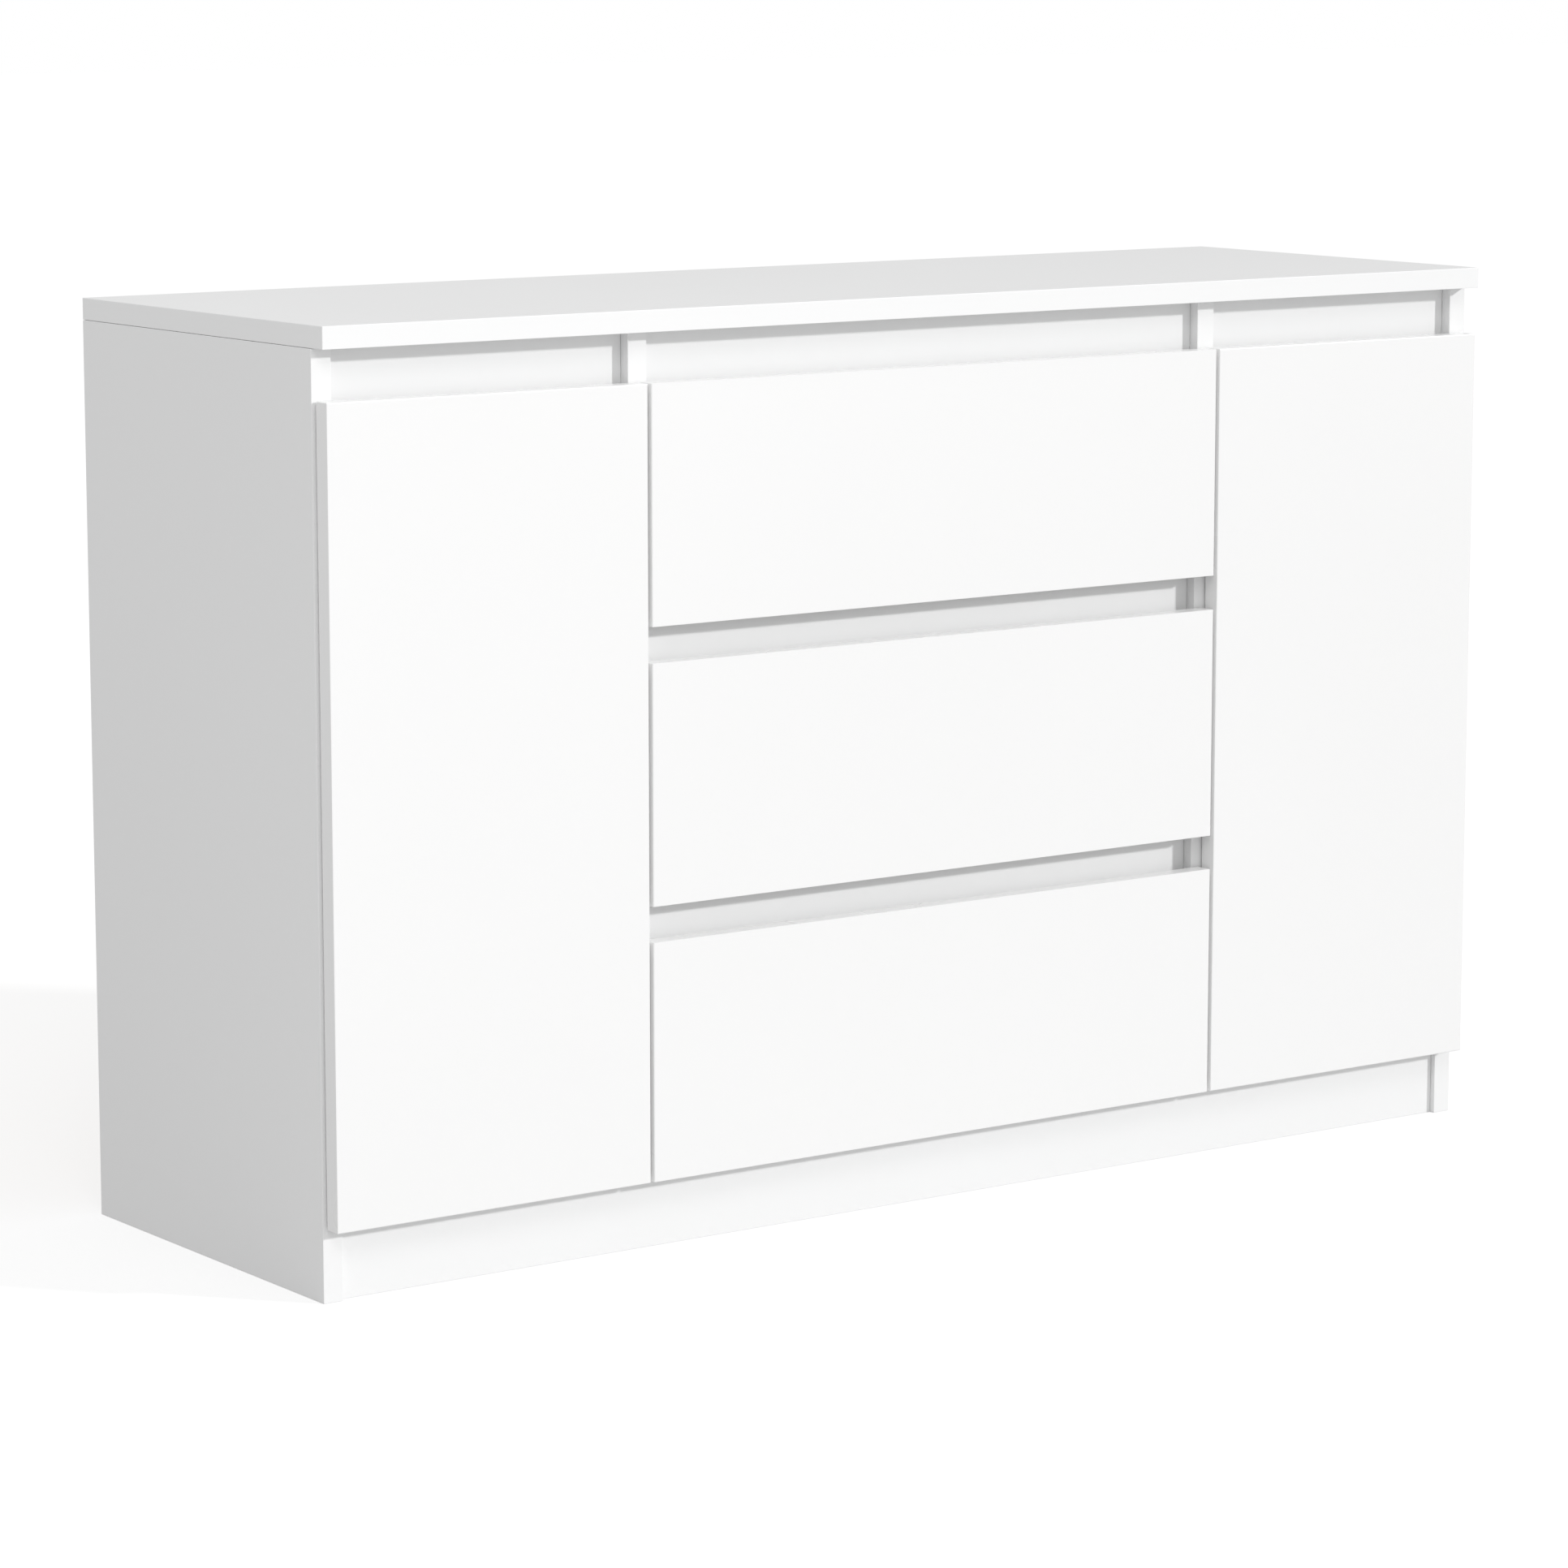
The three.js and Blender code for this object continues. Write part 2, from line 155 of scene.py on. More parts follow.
t.set(result["Roughness"], t.math("ADD", given["Roughness"], spread))

# Edge band: how far a point lies from the board's banded edges, as the glued band and its glue line.
banding, t, given, result = shader_group(
    "edge_band",
    [
        ("Low Corner", "NodeSocketVector", (0.0, 0.0, 0.0)),
        ("High Corner", "NodeSocketVector", (1.0, 1.0, 1.0)),
        ("Banded", "NodeSocketVector", (1.0, 1.0, 1.0)),
        ("Thickness", "NodeSocketFloat", EDGE_BAND),
    ],
    [("Band", "NodeSocketFloat"), ("Glue Line", "NodeSocketFloat")],
)
place = t.node("ShaderNodeTexCoord").outputs["Object"]
inset = t.vector(
    "MINIMUM",
    t.vector("SUBTRACT", place, given["Low Corner"]),
    t.vector("SUBTRACT", given["High Corner"], place),
)
bare = t.vector("SUBTRACT", (1.0, 1.0, 1.0), given["Banded"])
inset = t.node("ShaderNodeSeparateXYZ", Vector=t.vector("ADD", inset, bare)).outputs
nearest = t.math("MINIMUM", t.math("MINIMUM", inset["X"], inset["Y"]), inset["Z"])
t.set(result["Band"], t.math("LESS_THAN", nearest, given["Thickness"]))
off = t.math("ABSOLUTE", t.math("SUBTRACT", nearest, given["Thickness"]))
t.set(result["Glue Line"], t.remap(off, 0.0, GLUE_LINE, 1.0, 0.0))


def new_material(name):
    """A material with an empty Principled shader, its tree and that shader."""
    material = bpy.data.materials.new(name)
    material.use_nodes = True
    return material, Tree(material.node_tree), material.node_tree.nodes["Principled BSDF"]


def melamine(node, colour, roughness, grains, depth, banded):
    """White melamine for one board, with bands along the axes that banded marks."""
    low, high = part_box(node)
    material, t, shader = new_material(f"{node}_melamine")
    texture = t.node("ShaderNodeGroup", {"node_tree": pearl})
    t.set(texture.inputs["Grains per metre"], grains)
    t.set(texture.inputs["Roughness"], roughness)
    band = t.node("ShaderNodeGroup", {"node_tree": banding})
    t.set(band.inputs["Low Corner"], low)
    t.set(band.inputs["High Corner"], high)
    t.set(band.inputs["Banded"], banded)
    glue = t.math("MULTIPLY", band.outputs["Glue Line"], 0.35)
    glue_grey = tuple(0.8 * c for c in colour)
    band_white = tuple(min(1.0, 1.01 * c) for c in colour)
    face = t.mix(band.outputs["Band"], (*colour, 1.0), (*band_white, 1.0))
    toned = t.node("ShaderNodeHueSaturation", Color=t.mix(glue, face, (*glue_grey, 1.0)))
    t.set(toned.inputs["Value"], texture.outputs["Tone"])
    t.set(shader.inputs["Base Color"], toned.outputs["Color"])
    smoother = t.math("MULTIPLY", band.outputs["Band"], 0.08)
    t.set(shader.inputs["Roughness"], t.math("SUBTRACT", texture.outputs["Roughness"], smoother))
    flat = t.math("SUBTRACT", 1.0, band.outputs["Band"])
    height = t.math("MULTIPLY", texture.outputs["Height"], flat)
    bump = t.node("ShaderNodeBump", Strength=0.6, Distance=depth, Height=height)
    t.set(shader.inputs["Normal"], bump.outputs["Normal"])
    return material


def dress(node, material, rounding=EDGE_ROUND):
    """Gives a CAD node its material and eases its sharp edges."""
    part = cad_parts[node]
    part.data.materials.clear()
    part.data.materials.append(material)
    weld = part.modifiers.new("weld", "WELD")
    weld.merge_threshold = 0.005 * MM
    if rounding:
        bevel = part.modifiers.new("eased_edges", "BEVEL")
        bevel.width = rounding
        bevel.segments = 3
        bevel.limit_method = "ANGLE"
        bevel.angle_limit = math.radians(40)
        bevel.harden_normals = False


def carcass_board(node, banded, roughness=0.42):
    """Finishes one white board of the carcass."""
    dress(node, melamine(node, BOARD_WHITE, roughness, BOARD_GRAINS, PRESS_DEPTH, banded))


ENDS = {"left": -1, "right": 1}
LEVELS = ("lower", "middle", "upper")

for end in ENDS:
    carcass_board(f"{end}_side_panel", (0, 1, 1))

# ---------- Bottom panel, plinth boards and dividers ----------
# The same white board. The bottom panel lies on the front and rear plinth boards between the side
# panels, and the two dividers stand on it. Only the edges that show at the front are banded.

for name in ("bottom_panel", "plinth_board", "rear_plinth_board", "left_divider", "right_divider"):
    carcass_board(name, (0, 1, 0))

# ---------- Rails ----------
# White boards on edge that close the finger gaps from behind: three under the top panel and two
# between the drawers. They are pegged and cammed between the uprights.

RAILS = ("left_top_rail", "middle_top_rail", "right_top_rail", "lower_drawer_rail", "upper_drawer_rail")
for name in RAILS:
    carcass_board(name, (0, 0, 1))

# ---------- Cam locks ----------
# Die-cast zinc discs, 15 mm across, let into the boards near each joint. A quarter turn with a
# cross-head driver draws in the bolt from the board next to it.

CAM_RADIUS = 7.5 * MM
CAM_STANDS = 0.5 * MM
CAM_SETBACK = 34 * MM  # from the joint to the cam's middle
CAM_PLACES = (0.3, 0.85)  # along the depth of an upright


def metal(name, colour, roughness, grains):
    """Plated metal with a fine tumbled grain."""
    material, t, shader = new_material(name)
    texture = t.node("ShaderNodeGroup", {"node_tree": pearl})
    t.set(texture.inputs["Grains per metre"], grains)
    t.set(texture.inputs["Drift"], 0.1)
    t.set(texture.inputs["Roughness"], roughness)
    t.set(texture.inputs["Roughness Spread"], 0.25)
    toned = t.node("ShaderNodeHueSaturation", Color=(*colour, 1.0))
    t.set(toned.inputs["Value"], texture.outputs["Tone"])
    t.set(shader.inputs["Base Color"], toned.outputs["Color"])
    shader.inputs["Metallic"].default_value = 1.0
    t.set(shader.inputs["Roughness"], texture.outputs["Roughness"])
    bump = t.node("ShaderNodeBump", Strength=0.35, Distance=0.01 * MM, Height=texture.outputs["Height"])
    t.set(shader.inputs["Normal"], bump.outputs["Normal"])
    return material


def ring(bm, place, radius, height, steps):
    """A ring of points about the Z axis of place, or one point where the radius is nought."""
    if not radius:
        return [bm.verts.new(place @ Vector((0, 0, height)))]
    turns = [2 * math.pi * i / steps for i in range(steps)]
    points = [Vector((radius * math.cos(a), radius * math.sin(a), height)) for a in turns]
    return [bm.verts.new(place @ point) for point in points]


def join(bm, lower, upper):
    """Faces between two rings of one piece."""
    m, n = len(lower), len(upper)
    steps = max(m, n)
    for i in range(steps):
        j = (i + 1) % steps
        corners = (lower[i % m], lower[j % m], upper[j % n], upper[i % n])
        bm.faces.new(list(dict.fromkeys(corners)))


def facing(centre, axis):
    """The place of a turned piece whose Z axis points along axis."""
    turn = Vector(axis).to_track_quat("Z", "Y").to_matrix().to_4x4()
    return Matrix.Translation(centre) @ turn


def turned(bm, centre, axis, profile, steps=32):
    """A turned piece from a profile of (radius, height) points that starts and ends on the axis."""
    place = facing(centre, axis)
    rings = [ring(bm, place, radius, height, steps) for radius, height in profile]
    for lower, upper in zip(rings, rings[1:]):
        join(bm, lower, upper)


def cross_head(bm, centre, axis, radius, height, steps=32):
    """A screw's or cam's head with a cross recess: it stands height above centre along axis."""
    place = facing(centre, axis)
    sides = [(0, 0), (radius, 0), (radius, 0.35 * height)]
    sides += [(0.9 * radius, 0.8 * height), (0.7 * radius, height)]
    rings = [ring(bm, place, r, z, steps) for r, z in sides]
    for lower, upper in zip(rings, rings[1:]):
        join(bm, lower, upper)
    reach, half = 0.55 * radius, 0.11 * radius
    corner = [(reach, -half), (reach, half), (half, half)]
    plus = []
    for c, s in ((1, 0), (0, 1), (-1, 0), (0, -1)):
        plus += [(x * c - y * s, x * s + y * c) for x, y in corner]
    floor = height - min(0.45 * radius, 0.9 * height)
    rim = [bm.verts.new(place @ Vector((x, y, height))) for x, y in plus]
    sink = [bm.verts.new(place @ Vector((0.85 * x, 0.85 * y, floor))) for x, y in plus]
    join(bm, rim, sink)
    bm.faces.new(sink)
    loops = (rings[-1], rim)
    edges = [bm.edges.get((loop[i - 1], loop[i])) for loop in loops for i in range(len(loop))]
    bmesh.ops.triangle_fill(bm, edges=edges, use_beauty=True)


def piece(name, bm, material, body):
    """Makes the mesh built in bm a smooth-shaded piece that rides on a body."""
    bmesh.ops.recalc_face_normals(bm, faces=bm.faces)
    mesh = bpy.data.meshes.new(name)
    bm.to_mesh(mesh)
    bm.free()
    mesh.shade_smooth()
    mesh.set_sharp_from_angle(angle=math.radians(35))
    mesh.materials.append(material)
    made = bpy.data.objects.new(name, mesh)
    bpy.context.scene.collection.objects.link(made)
    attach(made, body)


zinc = metal("zinc_plate", (0.66, 0.67, 0.69), 0.36, 900.0)
top_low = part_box("top_panel")[0]

for end, sign in ENDS.items():
    low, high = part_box(f"{end}_side_panel")
    face = low.x if sign > 0 else high.x
    bm = bmesh.new()
    for share in CAM_PLACES:
        spot = (face, low.y + share * (high.y - low.y), top_low.z - CAM_SETBACK)
        cross_head(bm, spot, (-sign, 0, 0), CAM_RADIUS, CAM_STANDS)
    piece(f"{end}_side_panel_cams", bm, zinc, "cabinet")
    low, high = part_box(f"{end}_divider")
    face = high.x if sign > 0 else low.x
    bm = bmesh.new()
    for share in CAM_PLACES:
        for z in (top_low.z - CAM_SETBACK, low.z + CAM_SETBACK):
            spot = (face, low.y + share * (high.y - low.y), z)
            cross_head(bm, spot, (sign, 0, 0), CAM_RADIUS, CAM_STANDS)
    piece(f"{end}_divider_cams", bm, zinc, "cabinet")

for name in RAILS:
    low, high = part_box(name)
    bm = bmesh.new()
    for x in (low.x + CAM_SETBACK, high.x - CAM_SETBACK):
        cross_head(bm, (x, high.y, (low.z + high.z) / 2), (0, 1, 0), CAM_RADIUS, CAM_STANDS)
    piece(f"{name}_cams", bm, zinc, "cabinet")

# ---------- Top panel ----------
# One board over everything, banded on all four edges. It is held down by the cams in the uprights,
# so no fastener shows on it.

carcass_board("top_panel", (1, 1, 0), roughness=0.4)

# ---------- Back sheets and their nails ----------
# Three 3 mm hardboard sheets: lacquered white on the face inside, bare brown fibre on the face
# behind. Small steel nails, driven flush, hold them to the edges of the boards.

NAIL_RADIUS = 1.7 * MM
NAIL_HEAD = 0.4 * MM
NAIL_PROUD = 0.04 * MM
NAIL_SPACING = 110 * MM
NAIL_INSET = 4 * MM


def hardboard(name, finished):
    """Pressed brown fibre with the face towards finished lacquered white."""
    material, t, shader = new_material(name)
    place = t.node("ShaderNodeTexCoord").outputs["Object"]
    fibres = t.node("ShaderNodeTexNoise", Vector=place, Scale=420.0, Detail=6.0, Roughness=0.7)
    flecks = t.node("ShaderNodeTexNoise", Vector=place, Scale=190.0, Detail=4.0)
    clouds = t.node("ShaderNodeTexNoise", Vector=place, Scale=5.0, Detail=2.0)
    strands = t.remap(fibres.outputs["Fac"], 0.3, 0.7)
    specks = t.remap(flecks.outputs["Fac"], 0.55, 0.75, 0.0, 0.4)
    patches = t.remap(clouds.outputs["Fac"], 0.3, 0.7, 0.0, 0.15)
    brown = t.mix(strands, (0.30, 0.185, 0.095, 1), (0.47, 0.32, 0.185, 1))
    brown = t.mix(specks, brown, (0.24, 0.14, 0.07, 1))
    brown = t.mix(patches, brown, (0.55, 0.40, 0.25, 1))
    texture = t.node("ShaderNodeGroup", {"node_tree": pearl})
    white = t.node("ShaderNodeHueSaturation", Color=(0.86, 0.862, 0.855, 1))
    t.set(white.inputs["Value"], texture.outputs["Tone"])
    along = t.vector("MULTIPLY", t.node("ShaderNodeTexCoord").outputs["Normal"], finished)
    along = t.node("ShaderNodeSeparateXYZ", Vector=along).outputs
    inside = t.math("GREATER_THAN", t.math("ADD", along["Y"], along["Z"]), 0.5)
    t.set(shader.inputs["Base Color"], t.mix(inside, brown, white.outputs["Color"]))
    t.set(shader.inputs["Roughness"], t.math("SUBTRACT", 0.85, t.math("MULTIPLY", inside, 0.35)))
    bareness = t.math("SUBTRACT", 1.0, t.math("MULTIPLY", inside, 0.9))
    rough = t.math("MULTIPLY", fibres.outputs["Fac"], bareness)
    bump = t.node("ShaderNodeBump", Strength=0.5, Distance=0.15 * MM, Height=rough)
    t.set(shader.inputs["Normal"], bump.outputs["Normal"])
    return material


def even(low, high, spacing):
    """Places from low to high, evenly spaced at about spacing."""
    count = max(1, round((high - low) / spacing))
    return [low + (high - low) * i / count for i in range(count + 1)]


fibre = hardboard("back_hardboard", (0, -1, 0))
for section in ("left", "middle", "right"):
    name = f"{section}_back_sheet"
    dress(name, fibre, 0.25 * MM)
    low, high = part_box(name)
    bm = bmesh.new()
    xs = (low.x + NAIL_INSET, high.x - NAIL_INSET)
    zs = (low.z + NAIL_INSET, high.z - NAIL_INSET)
    spots = {(x, z) for x in xs for z in even(*zs, NAIL_SPACING)}
    spots |= {(x, low.z + 2 * NAIL_INSET) for x in even(*xs, NAIL_SPACING)}
    rim = [(NAIL_RADIUS, 0), (NAIL_RADIUS, 0.8 * NAIL_HEAD), (0.9 * NAIL_RADIUS, NAIL_HEAD)]
    head = [(0, 0), *rim, (0, NAIL_HEAD)]
    for x, z in sorted(spots):
        turned(bm, (x, high.y + NAIL_PROUD - NAIL_HEAD, z), (0, 1, 0), head, 16)
    piece(f"{section}_back_sheet_nails", bm, zinc, "cabinet")

# ---------- Shelves and their pins ----------
# A loose board in each cupboard lies on four steel pins pushed into holes in the uprights.

PIN_RADIUS = 2.5 * MM
PIN_REACH = 8 * MM
PIN_SETBACK = 45 * MM
PIN_TIP = 0.5 * MM
COLLAR_RADIUS = 1.7 * PIN_RADIUS

for end, sign in ENDS.items():
    carcass_board(f"{end}_shelf", (0, 1, 0))
    low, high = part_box(f"{end}_shelf")
    side_low, side_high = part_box(f"{end}_side_panel")
    divider_low, divider_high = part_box(f"{end}_divider")
    faces = (divider_high.x, side_low.x) if sign > 0 else (side_high.x, divider_low.x)
    collar = [(0, 0), (COLLAR_RADIUS, 0), (COLLAR_RADIUS, 0.8 * MM), (PIN_RADIUS, MM)]
    tip = [(PIN_RADIUS, PIN_REACH - PIN_TIP), (PIN_RADIUS - PIN_TIP, PIN_REACH), (0, PIN_REACH)]
    bm = bmesh.new()
    for x, way in zip(faces, (1, -1)):
        for y in (low.y + PIN_SETBACK, high.y - PIN_SETBACK):
            turned(bm, (x, y, low.z - COLLAR_RADIUS), (way, 0, 0), collar + tip)
    piece(f"{end}_shelf_pins", bm, zinc, "cabinet")

# ---------- Doors and their bumpers ----------
# Full-height overlay doors: smooth white melamine with bands on all four edges. A clear silicone
# dot at each free corner meets the divider's edge and softens the door's closing.

FRONT_WHITE = (0.912, 0.912, 0.91)
BUMPER_RADIUS = 3.2 * MM
BUMPER_HEIGHT = 1.5 * MM
BUMPER_INSET = 25 * MM
FRONT_ROUND = 0.7 * MM


def front_board(name):
    """Finishes a door or drawer front: smoother than the carcass and banded all round."""
    dress(name, melamine(name, FRONT_WHITE, 0.36, 800.0, 0.02 * MM, (1, 0, 1)), FRONT_ROUND)


def silicone(name):
    """Clear silicone, slightly clouded by its moulding."""
    material, t, shader = new_material(name)
    place = t.node("ShaderNodeTexCoord").outputs["Object"]
    cloud = t.node("ShaderNodeTexNoise", Vector=place, Scale=500.0, Detail=2.0)
    tint = t.mix(cloud.outputs["Fac"], (0.86, 0.88, 0.88, 1), (0.95, 0.96, 0.96, 1))
    t.set(shader.inputs["Base Color"], tint)
    t.set(shader.inputs["Roughness"], t.remap(cloud.outputs["Fac"], 0.0, 1.0, 0.2, 0.35))
    shader.inputs["Transmission Weight"].default_value = 0.5
    shader.inputs["IOR"].default_value = 1.41
    return material


def bumpers(name, body, xs, y, zs):
    """Domed dots on the back of a front, in the gap to the carcass."""
    bm = bmesh.new()
    dome = [(math.sin(a), math.cos(a)) for a in (math.radians(d) for d in (75, 55, 35, 15))]
    profile = [(0, 0), (BUMPER_RADIUS, 0)]
    profile += [(BUMPER_RADIUS * r, BUMPER_HEIGHT * h) for r, h in dome] + [(0, BUMPER_HEIGHT)]
    for x in xs:
        for z in zs:
            turned(bm, (x, y, z), (0, 1, 0), profile)
    piece(name, bm, clear, body)


clear = silicone("clear_silicone")
for end, sign in ENDS.items():
    name = f"{end}_door"
    front_board(name)
    low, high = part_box(name)
    divider_low, divider_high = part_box(f"{end}_divider")
    middle = (divider_high.x + low.x) / 2 if sign > 0 else (divider_low.x + high.x) / 2
    heights = (low.z + BUMPER_INSET, high.z - BUMPER_INSET)
    bumpers(f"{end}_door_bumpers", name, [middle], high.y, heights)

# ---------- Cup hinges and their screws ----------
# Nickel-plated steel: a cup pressed into the door, an arm on a winged plate on the side panel, and
# a link between them. Two screws hold the cup, two hold the plate and two more adjust the arm.

SCREW_RADIUS = 3.2 * MM
SCREW_HEIGHT = 1.3 * MM
FLANGE_SCREW_REACH = 24 * MM  # above and below the cup's middle
WING_SCREW_REACH = 23.5 * MM
WING_FROM_MOUTH = 38 * MM
ARM_SCREWS = (20 * MM, 50 * MM)  # from the arm's mouth
PLATE = 3 * MM

nickel = metal("nickel_plate", (0.74, 0.74, 0.73), 0.26, 1200.0)
for end, sign in ENDS.items():
    for level in ("lower", "upper"):
        hinge = f"{end}_{level}_hinge"
        for part in ("cup", "link", "arm"):
            dress(f"{hinge}_{part}", nickel, 0.2 * MM)
        low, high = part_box(f"{hinge}_cup")
        middle = (low + high) / 2
        bm = bmesh.new()
        for way in (-1, 1):
            spot = (middle.x, high.y, middle.z + way * FLANGE_SCREW_REACH)
            cross_head(bm, spot, (0, 1, 0), SCREW_RADIUS, SCREW_HEIGHT)
        piece(f"{hinge}_cup_screws", bm, zinc, f"{end}_door")
        low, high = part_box(f"{hinge}_arm")
        middle = (low + high) / 2
        panel, web = (high.x, low.x) if sign > 0 else (low.x, high.x)
        plate = panel - sign * PLATE
        bm = bmesh.new()
        for way in (-1, 1):
            spot = (plate, low.y + WING_FROM_MOUTH, middle.z + way * WING_SCREW_REACH)
            cross_head(bm, spot, (-sign, 0, 0), SCREW_RADIUS, SCREW_HEIGHT)
        for along in ARM_SCREWS:
            cross_head(bm, (web, low.y + along, middle.z), (-sign, 0, 0), SCREW_RADIUS, SCREW_HEIGHT)
        piece(f"{hinge}_arm_screws", bm, zinc, "cabinet")

# ---------- Drawer boxes ----------
# Each overlay front carries a box of 12 mm board in white foil with a hardboard bottom in a groove.
# Cams draw the sides up to the front, and countersunk screws hold the sides to the box's back.

BOX_WHITE = (0.865, 0.863, 0.855)
BOX_CAM_RADIUS = 6 * MM
BOX_JOINTS = (0.3, 0.8)  # up the height of a side
BACK_SCREW_STANDS = 0.6 * MM

tray = hardboard("drawer_hardboard", (0, 0, 1))
for level in LEVELS:
    front, body = f"{level}_drawer_front", f"{level}_drawer"
    front_board(front)
    for part in ("left_side", "right_side", "back"):
        name = f"{level}_drawer_{part}"
        dress(name, melamine(name, BOX_WHITE, 0.5, 500.0, PRESS_DEPTH, (0, 0, 1)))
    dress(f"{level}_drawer_bottom", tray, 0)
    back_low, back_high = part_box(f"{level}_drawer_back")
    back_middle = (back_low.y + back_high.y) / 2
    cams = bmesh.new()
    screws = bmesh.new()
    for end, sign in ENDS.items():
        low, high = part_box(f"{level}_drawer_{end}_side")
        inner, outer = (low.x, high.x) if sign > 0 else (high.x, low.x)
        for share in BOX_JOINTS:
            z = low.z + share * (high.z - low.z)
            spot = (inner, low.y + CAM_SETBACK, z)
            cross_head(cams, spot, (-sign, 0, 0), BOX_CAM_RADIUS, CAM_STANDS)
            cross_head(screws, (outer, back_middle, z), (sign, 0, 0), SCREW_RADIUS, BACK_SCREW_STANDS)
    piece(f"{level}_drawer_cams", cams, zinc, body)
    piece(f"{level}_drawer_back_screws", screws, zinc, body)
    low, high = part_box(front)
    edge = (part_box("left_divider")[1].x + low.x) / 2
    bumpers(f"{level}_drawer_bumpers", body, (edge, -edge), high.y, (high.z - BUMPER_INSET,))

# ---------- Drawer runners, rollers and screws ----------
# Folded steel with a white powder coat. A nylon roller at the front of each fixed runner carries
# the drawer's lip, and one at the back of each drawer runs inside the fixed channel.

ROLLER_WIDTH = 5.5 * MM
FRONT_ROLLER_RADIUS = 7.8 * MM
REAR_ROLLER_RADIUS = 7.4 * MM
ROLLER_SETBACK = 10 * MM
ROLLER_STANDS = 1.5 * MM  # from the drawer's runner to its roller
AXLE_RADIUS = 3 * MM
AXLE_LENGTH = 1.4 * MM
STEEL = 1.2 * MM
FRONT_PLAY = 0.2 * MM  # between the front roller and the lip that it carries
REAR_PLAY = 0.3 * MM  # between the rear roller and the channel's floor
BOX_SEAM = 0.3 * MM  # between a box's side and its runner
RUNNER_SCREWS = (0.12, 0.5, 0.9)  # along the runner's length
WEB_SCREW_DROP = 6.5 * MM
FOOT_SCREW_RISE = 8 * MM


def powder_coat(name):
    """White powder coat with its slight orange peel."""
    material, t, shader = new_material(name)
    texture = t.node("ShaderNodeGroup", {"node_tree": pearl})
    t.set(texture.inputs["Grains per metre"], 420.0)
    t.set(texture.inputs["Roughness"], 0.38)
    toned = t.node("ShaderNodeHueSaturation", Color=(0.87, 0.87, 0.86, 1))
    t.set(toned.inputs["Value"], texture.outputs["Tone"])
    t.set(shader.inputs["Base Color"], toned.outputs["Color"])
    t.set(shader.inputs["Roughness"], texture.outputs["Roughness"])
    bump = t.node("ShaderNodeBump", Strength=0.5, Distance=0.06 * MM, Height=texture.outputs["Height"])
    t.set(shader.inputs["Normal"], bump.outputs["Normal"])
    return material


def roller(bm, centre, way, radius):
    """A nylon wheel with a rounded tread, a sunk web and a hub, turning about X."""
    half = ROLLER_WIDTH / 2
    side = [(1.6 * MM, half), (2.6 * MM, half), (2.8 * MM, half - MM), (0.7 * radius, half - MM)]
    side += [(0.75 * radius, half), (radius - 0.6 * MM, half), (radius, half - 0.6 * MM)]
    near = [(r, -h) for r, h in side]
    profile = [(0, -half), *near, *reversed(side), (0, half)]
    turned(bm, centre, (way, 0, 0), profile, 40)


def moulded_nylon(name, colour):
    """Nylon with the faint grain of its mould."""
    material, t, shader = new_material(name)
    texture = t.node("ShaderNodeGroup", {"node_tree": pearl})
    t.set(texture.inputs["Grains per metre"], 1500.0)
    t.set(texture.inputs["Roughness"], 0.45)
    toned = t.node("ShaderNodeHueSaturation", Color=(*colour, 1.0))
    t.set(toned.inputs["Value"], texture.outputs["Tone"])
    t.set(shader.inputs["Base Color"], toned.outputs["Color"])
    t.set(shader.inputs["Roughness"], texture.outputs["Roughness"])
    return material


powder = powder_coat("white_powder_coat")
nylon = moulded_nylon("nylon", (0.80, 0.80, 0.78))
for level in LEVELS:
    for end, sign in ENDS.items():
        fixed, moving = f"{level}_cabinet_{end}_runner", f"{level}_drawer_{end}_runner"
        dress(fixed, powder, 0.2 * MM)
        dress(moving, powder, 0.2 * MM)
        low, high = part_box(fixed)
        lip_low, lip_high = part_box(moving)
        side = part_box(f"{level}_drawer_{end}_side")
        wall = (high.x if sign > 0 else low.x) - sign * STEEL
        plate = (side[1].x if sign > 0 else side[0].x) + sign * (BOX_SEAM + STEEL)

        front_height = lip_high.z - STEEL - FRONT_ROLLER_RADIUS - FRONT_PLAY
        spot = (wall - sign * ROLLER_WIDTH / 2, low.y + ROLLER_SETBACK, front_height)
        bm = bmesh.new()
        roller(bm, spot, sign, FRONT_ROLLER_RADIUS)
        piece(f"{fixed}_roller", bm, nylon, "cabinet")

        rear_height = low.z + STEEL + REAR_PLAY + REAR_ROLLER_RADIUS
        rear = lip_high.y - ROLLER_SETBACK
        spot = (plate + sign * (ROLLER_STANDS + ROLLER_WIDTH / 2), rear, rear_height)
        axle = [(0, 0), (AXLE_RADIUS, 0), (AXLE_RADIUS, AXLE_LENGTH), (0, AXLE_LENGTH)]
        bm = bmesh.new()
        roller(bm, spot, sign, REAR_ROLLER_RADIUS)
        turned(bm, (plate, rear, rear_height), (sign, 0, 0), axle)
        piece(f"{moving}_roller", bm, nylon, f"{level}_drawer")

        fixed_screws = bmesh.new()
        moving_screws = bmesh.new()
        for share in RUNNER_SCREWS:
            spot = (wall, low.y + share * (high.y - low.y), high.z - WEB_SCREW_DROP)
            cross_head(fixed_screws, spot, (-sign, 0, 0), SCREW_RADIUS, SCREW_HEIGHT)
            spot = (plate, lip_low.y + share * (lip_high.y - lip_low.y), lip_low.z + FOOT_SCREW_RISE)
            cross_head(moving_screws, spot, (sign, 0, 0), 0.9 * SCREW_RADIUS, SCREW_HEIGHT)
        piece(f"{fixed}_screws", fixed_screws, zinc, "cabinet")
        piece(f"{moving}_screws", moving_screws, zinc, f"{level}_drawer")

# ---------- Stage ----------
# A plain pale floor that runs back to a white surround, a low key light from the right, a soft
# lamp in front, and a long-lens camera to the left, at the height of a standing person's chest.

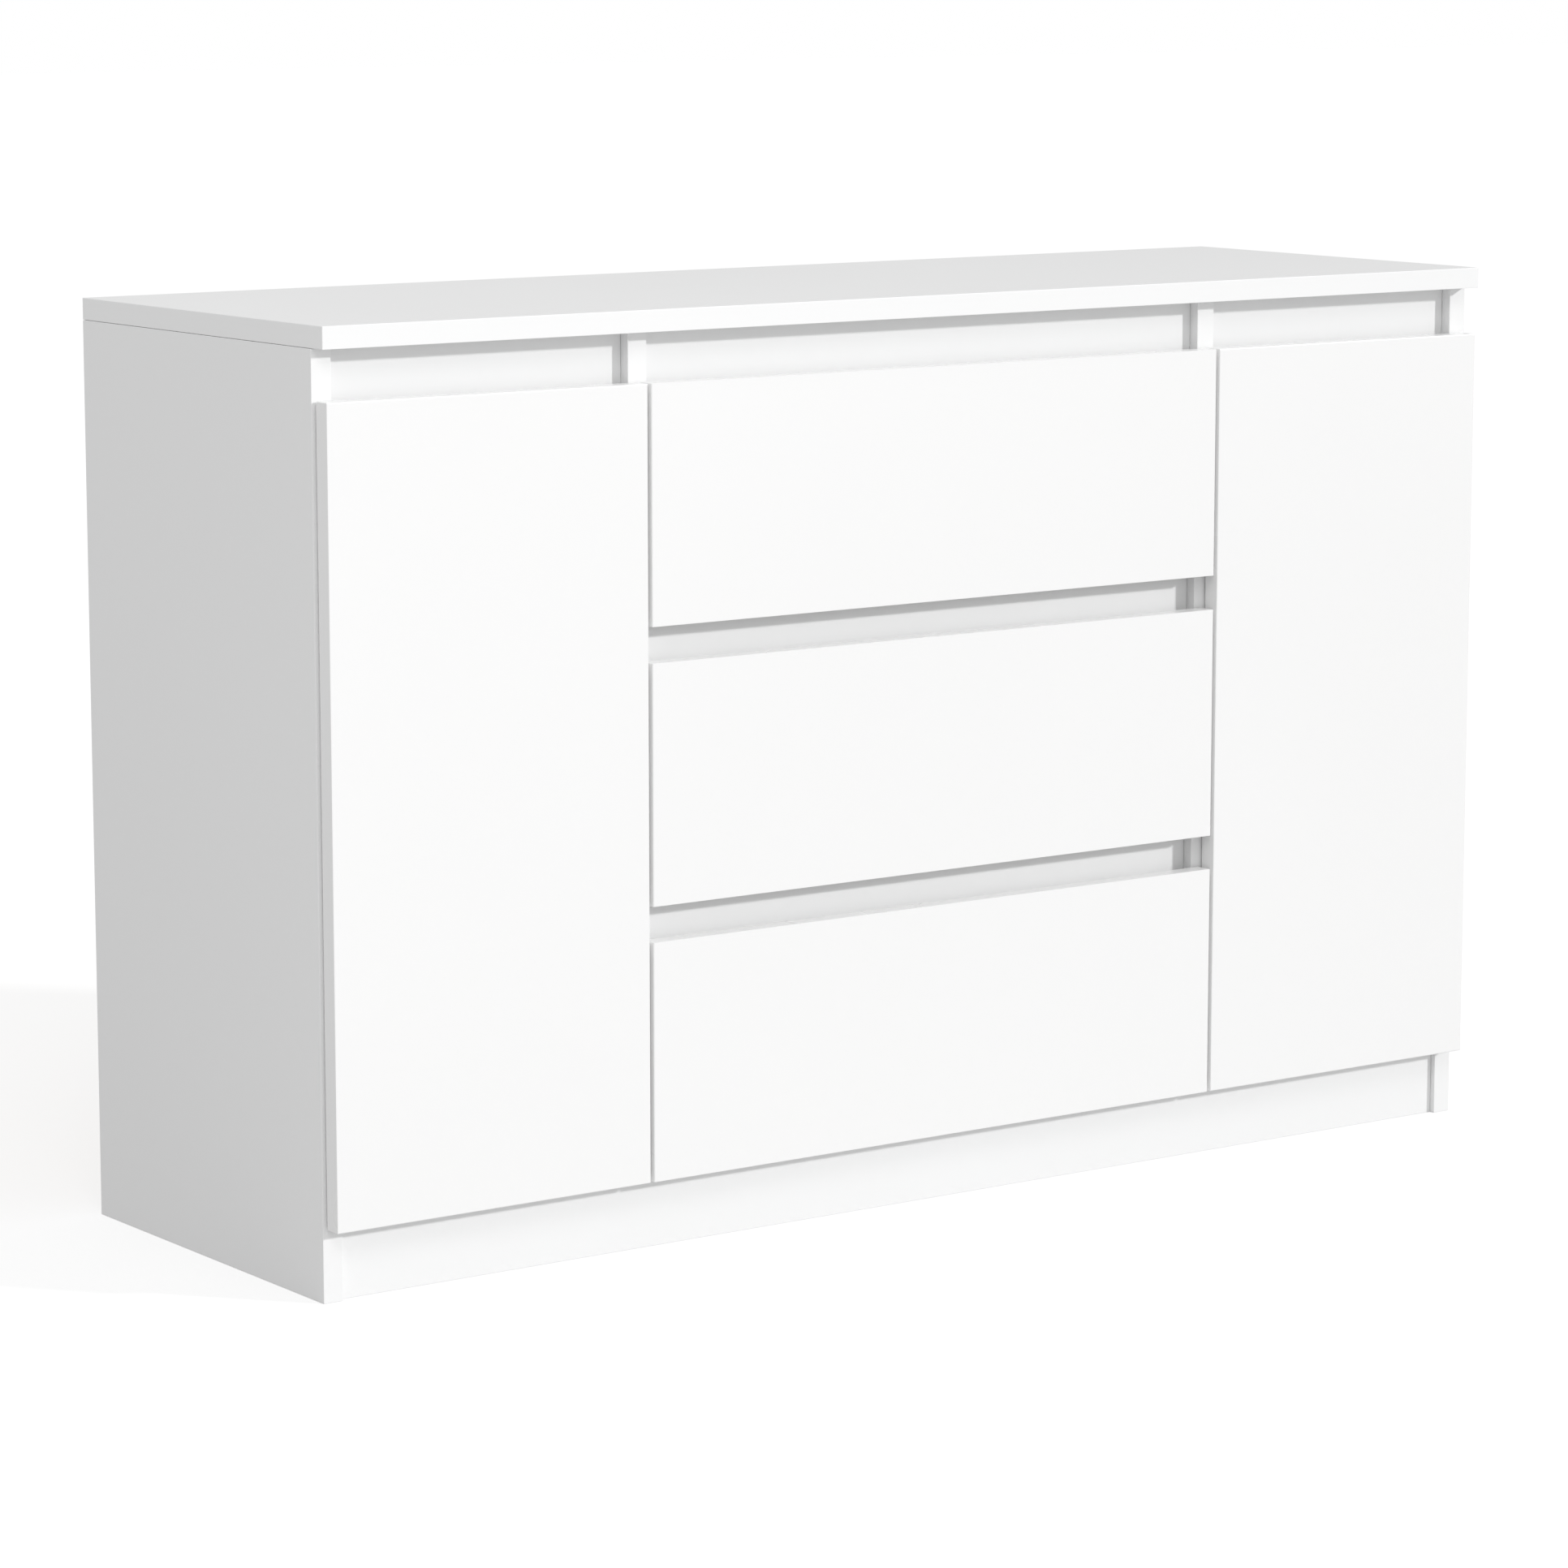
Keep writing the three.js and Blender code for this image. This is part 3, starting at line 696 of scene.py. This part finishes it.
FLOOR_SIZE = 60.0
LENS = 122.96
CAMERA_PLACE = (-2.702, -3.738, 1.085)
CAMERA_TURN = 35.59
CAMERA_DIP = 9.20
KEY_TURN = 41.0  # to the right of straight in front
KEY_RISE = 18.6
KEY_SPREAD = 3.5
KEY_STRENGTH = 1.52
FILL_PLACE = (-2.0, -2.6, 3.0)
FILL_SIZE = 1.5
FILL_POWER = 20.0
SURROUND = 0.67
FLOOR_GLOW = 0.12
FLOOR_LIFT = 0.48  # only as the camera sees the floor

scene = bpy.context.scene
low, high = cad_box
centre = (low + high) / 2

bm = bmesh.new()
bmesh.ops.create_grid(bm, x_segments=1, y_segments=1, size=FLOOR_SIZE / 2)
floor_mesh = bpy.data.meshes.new("floor")
bm.to_mesh(floor_mesh)
bm.free()
floor = bpy.data.objects.new("floor", floor_mesh)
floor.location.z = low.z
scene.collection.objects.link(floor)
material, t, shader = new_material("pale_floor")
place = t.node("ShaderNodeTexCoord").outputs["Object"]
mottle = t.node("ShaderNodeTexNoise", Vector=place, Scale=3.0, Detail=3.0)
pale = t.mix(mottle.outputs["Fac"], (0.49, 0.49, 0.49, 1), (0.51, 0.51, 0.51, 1))
t.set(shader.inputs["Base Color"], pale)
shader.inputs["Roughness"].default_value = 0.9
shader.inputs["Specular IOR Level"].default_value = 0.1
shader.inputs["Emission Color"].default_value = (1, 1, 1, 1)
direct = t.node("ShaderNodeLightPath").outputs["Is Camera Ray"]
glow = t.math("ADD", FLOOR_GLOW, t.math("MULTIPLY", direct, FLOOR_LIFT))
t.set(shader.inputs["Emission Strength"], glow)
floor_mesh.materials.append(material)

turn, rise = math.radians(KEY_TURN), math.radians(KEY_RISE)
level_turn = Vector((math.sin(turn), -math.cos(turn), 0))
towards = level_turn * math.cos(rise) + Vector((0, 0, math.sin(rise)))
key_data = bpy.data.lights.new("key_lamp", "SUN")
key_data.angle = math.radians(KEY_SPREAD)
key_data.energy = KEY_STRENGTH
key = bpy.data.objects.new("key_lamp", key_data)
key.rotation_euler = towards.to_track_quat("Z", "Y").to_euler()
scene.collection.objects.link(key)
fill_data = bpy.data.lights.new("fill_lamp", "AREA")
fill_data.shape = "DISK"
fill_data.size = FILL_SIZE
fill_data.energy = FILL_POWER
fill = bpy.data.objects.new("fill_lamp", fill_data)
fill.location = FILL_PLACE
fill.rotation_euler = (Vector(FILL_PLACE) - centre).to_track_quat("Z", "Y").to_euler()
scene.collection.objects.link(fill)

world = bpy.data.worlds.new("white_surround")
world.use_nodes = True
t = Tree(world.node_tree)
background = world.node_tree.nodes["Background"]
direct = t.node("ShaderNodeLightPath").outputs["Is Camera Ray"]
white = t.math("ADD", SURROUND, t.math("MULTIPLY", direct, 1.0 - SURROUND))
t.set(background.inputs["Strength"], white)
background.inputs["Color"].default_value = (1, 1, 1, 1)
scene.world = world
scene.view_settings.view_transform = "Standard"

camera_data = bpy.data.cameras.new("camera")
camera_data.sensor_width = 36.0
camera_data.lens = LENS
camera = bpy.data.objects.new("camera", camera_data)
camera.location = CAMERA_PLACE
camera.rotation_euler = (math.radians(90 - CAMERA_DIP), 0.0, math.radians(-CAMERA_TURN))
scene.collection.objects.link(camera)
scene.camera = camera
